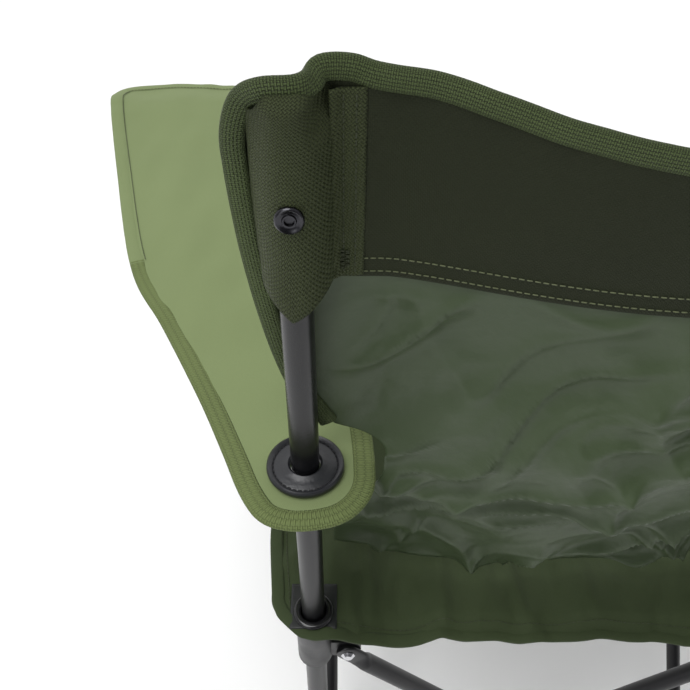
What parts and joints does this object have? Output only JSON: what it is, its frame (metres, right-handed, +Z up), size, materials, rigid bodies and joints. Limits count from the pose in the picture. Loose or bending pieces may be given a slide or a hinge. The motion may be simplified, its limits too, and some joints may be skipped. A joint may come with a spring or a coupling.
{
  "type": "folding camp chair",
  "caption": "Folding camp chair with crossed tube braces on four corners, sliding collars on two rear posts, and slung cloth seat, back and armrests.",
  "frame": {"origin": "centre of the four feet, on the floor", "axes": "+X to the sitter's left, -Y the way the sitter faces, +Z up"},
  "size_m": [0.78, 0.5066, 0.8034],
  "materials": {
    "post_steel": "gloss black powder coat on steel tube",
    "brace_steel": "gloss black powder coat on steel tube",
    "rivet_steel": "bright zinc plated",
    "screw_black": "black zinc",
    "foot_plastic": "matt black moulding",
    "slider_plastic": "satin black moulding",
    "eyelet_plastic": "satin black vinyl and ring",
    "seat_oxford": "coated olive polyester oxford",
    "back_oxford": "heavy olive oxford above a thin coated olive panel",
    "arm_oxford": "olive polyester oxford"
  },
  "bodies": {
    "rear_left_leg": {"foot_rear_left": "foot_plastic", "post_rear_left": "post_steel", "back_cloth": "back_oxford", "pocket_screw_left": "screw_black"},
    "rear_right_leg": {"foot_rear_right": "foot_plastic", "post_rear_right": "post_steel", "pocket_screw_right": "screw_black"},
    "front_left_foot": {"foot_front_left": "foot_plastic"},
    "front_right_foot": {"foot_front_right": "foot_plastic"},
    "rear_left_slider": {"slider_rear_left": "slider_plastic", "seat_grommet_rear_left": "eyelet_plastic", "arm_cloth_left": "arm_oxford", "arm_eyelet_left": "eyelet_plastic", "seat_cloth": "seat_oxford"},
    "front_left_hub": {"hub_front_left": "slider_plastic"},
    "left_arm_post": {"arm_post_left": "post_steel", "rivet_arm_left": "rivet_steel", "seat_grommet_front_left": "eyelet_plastic"},
    "rear_right_slider": {"slider_rear_right": "slider_plastic", "seat_grommet_rear_right": "eyelet_plastic", "arm_cloth_right": "arm_oxford", "arm_eyelet_right": "eyelet_plastic"},
    "front_right_hub": {"hub_front_right": "slider_plastic"},
    "right_arm_post": {"arm_post_right": "post_steel", "rivet_arm_right": "rivet_steel", "seat_grommet_front_right": "eyelet_plastic"},
    "rear_inner_brace": {"brace_rear_inner": "brace_steel", "rivet_rear_inner_foot": "rivet_steel", "rivet_rear_inner_top": "rivet_steel", "rivet_rear_cross": "rivet_steel"},
    "rear_outer_brace": {"brace_rear_outer": "brace_steel", "rivet_rear_outer_foot": "rivet_steel", "rivet_rear_outer_top": "rivet_steel"},
    "left_inner_brace": {"brace_left_inner": "brace_steel", "rivet_left_inner_foot": "rivet_steel", "rivet_left_inner_top": "rivet_steel", "rivet_left_cross": "rivet_steel"},
    "left_outer_brace": {"brace_left_outer": "brace_steel", "rivet_left_outer_foot": "rivet_steel", "rivet_left_outer_top": "rivet_steel"},
    "right_inner_brace": {"brace_right_inner": "brace_steel", "rivet_right_inner_foot": "rivet_steel", "rivet_right_inner_top": "rivet_steel", "rivet_right_cross": "rivet_steel"},
    "right_outer_brace": {"brace_right_outer": "brace_steel", "rivet_right_outer_foot": "rivet_steel", "rivet_right_outer_top": "rivet_steel"},
    "front_inner_brace": {"brace_front_inner": "brace_steel", "rivet_front_inner_foot": "rivet_steel", "rivet_front_inner_top": "rivet_steel", "rivet_front_cross": "rivet_steel"},
    "front_outer_brace": {"brace_front_outer": "brace_steel", "rivet_front_outer_foot": "rivet_steel", "rivet_front_outer_top": "rivet_steel"}
  },
  "joints": [
    {"name": "fold", "type": "hinge", "parent": "rear_left_leg", "child": "rear_inner_brace", "pos_m": [0.166, 0.21049, 0.028], "axis": [0, 1, 0], "range_deg": [0, 38], "deforming": ["seat_cloth", "back_cloth", "arm_cloth_left", "arm_cloth_right"]},
    {"name": "rear_cross", "type": "hinge", "parent": "rear_inner_brace", "child": "rear_outer_brace", "pos_m": [0, 0.21774, 0.204], "axis": [0, 1, 0], "range_deg": [-78, 0]},
    {"name": "rear_foot_turn", "type": "hinge", "parent": "rear_outer_brace", "child": "rear_right_leg", "pos_m": [-0.166, 0.22499, 0.028], "axis": [0, 1, 0], "range_deg": [0, 40]},
    {"name": "rear_inner_top", "type": "hinge", "parent": "rear_inner_brace", "child": "rear_right_slider", "pos_m": [-0.166, 0.21049, 0.38], "axis": [0, 1, 0], "range_deg": [-40, 0]},
    {"name": "rear_outer_top", "type": "hinge", "parent": "rear_outer_brace", "child": "rear_left_slider", "pos_m": [0.166, 0.22499, 0.38], "axis": [0, 1, 0], "range_deg": [0, 40]},
    {"name": "left_inner_fold", "type": "hinge", "parent": "rear_left_leg", "child": "left_inner_brace", "pos_m": [0.18275, 0.19374, 0.028], "axis": [-1, 0, 0], "range_deg": [0, 40]},
    {"name": "left_cross", "type": "hinge", "parent": "left_inner_brace", "child": "left_outer_brace", "pos_m": [0.19, 0.02774, 0.204], "axis": [-1, 0, 0], "range_deg": [-78, 0]},
    {"name": "left_foot_turn", "type": "hinge", "parent": "left_outer_brace", "child": "front_left_foot", "pos_m": [0.19725, -0.13826, 0.028], "axis": [-1, 0, 0], "range_deg": [0, 40]},
    {"name": "left_inner_top", "type": "hinge", "parent": "left_inner_brace", "child": "front_left_hub", "pos_m": [0.18275, -0.13826, 0.38], "axis": [-1, 0, 0], "range_deg": [-40, 0]},
    {"name": "right_inner_fold", "type": "hinge", "parent": "rear_right_leg", "child": "right_inner_brace", "pos_m": [-0.18275, 0.19374, 0.028], "axis": [-1, 0, 0], "range_deg": [0, 40]},
    {"name": "right_cross", "type": "hinge", "parent": "right_inner_brace", "child": "right_outer_brace", "pos_m": [-0.19, 0.02774, 0.204], "axis": [-1, 0, 0], "range_deg": [-78, 0]},
    {"name": "right_foot_turn", "type": "hinge", "parent": "right_outer_brace", "child": "front_right_foot", "pos_m": [-0.19725, -0.13826, 0.028], "axis": [-1, 0, 0], "range_deg": [0, 40]},
    {"name": "right_inner_top", "type": "hinge", "parent": "right_inner_brace", "child": "front_right_hub", "pos_m": [-0.18275, -0.13826, 0.38], "axis": [-1, 0, 0], "range_deg": [-40, 0]},
    {"name": "front_inner_fold", "type": "hinge", "parent": "front_left_foot", "child": "front_inner_brace", "pos_m": [0.166, -0.15501, 0.028], "axis": [0, 1, 0], "range_deg": [0, 40]},
    {"name": "front_outer_fold", "type": "hinge", "parent": "front_right_foot", "child": "front_outer_brace", "pos_m": [-0.166, -0.16951, 0.028], "axis": [0, 1, 0], "range_deg": [-40, 0]},
    {"name": "left_arm_turn", "type": "hinge", "parent": "front_left_hub", "child": "left_arm_post", "pos_m": [0.19, -0.18121, 0.398], "axis": [0, -1, 0], "range_deg": [0, 30.5]},
    {"name": "right_arm_turn", "type": "hinge", "parent": "front_right_hub", "child": "right_arm_post", "pos_m": [-0.19, -0.18121, 0.398], "axis": [0, 1, 0], "range_deg": [0, 30.5]}
  ],
  "couplings": [
    {"joint": "rear_cross", "follows": "fold", "ratio": -2},
    {"joint": "rear_foot_turn", "follows": "fold", "ratio": 1},
    {"joint": "rear_inner_top", "follows": "fold", "ratio": -1},
    {"joint": "rear_outer_top", "follows": "fold", "ratio": 1},
    {"joint": "left_inner_fold", "follows": "fold", "ratio": 1},
    {"joint": "left_cross", "follows": "fold", "ratio": -2},
    {"joint": "left_foot_turn", "follows": "fold", "ratio": 1},
    {"joint": "left_inner_top", "follows": "fold", "ratio": -1},
    {"joint": "right_inner_fold", "follows": "fold", "ratio": 1},
    {"joint": "right_cross", "follows": "fold", "ratio": -2},
    {"joint": "right_foot_turn", "follows": "fold", "ratio": 1},
    {"joint": "right_inner_top", "follows": "fold", "ratio": -1},
    {"joint": "front_inner_fold", "follows": "fold", "ratio": 1},
    {"joint": "front_outer_fold", "follows": "fold", "ratio": -1},
    {"joint": "left_arm_turn", "follows": "fold", "ratio": 0.75},
    {"joint": "right_arm_turn", "follows": "fold", "ratio": 0.75}
  ]
}
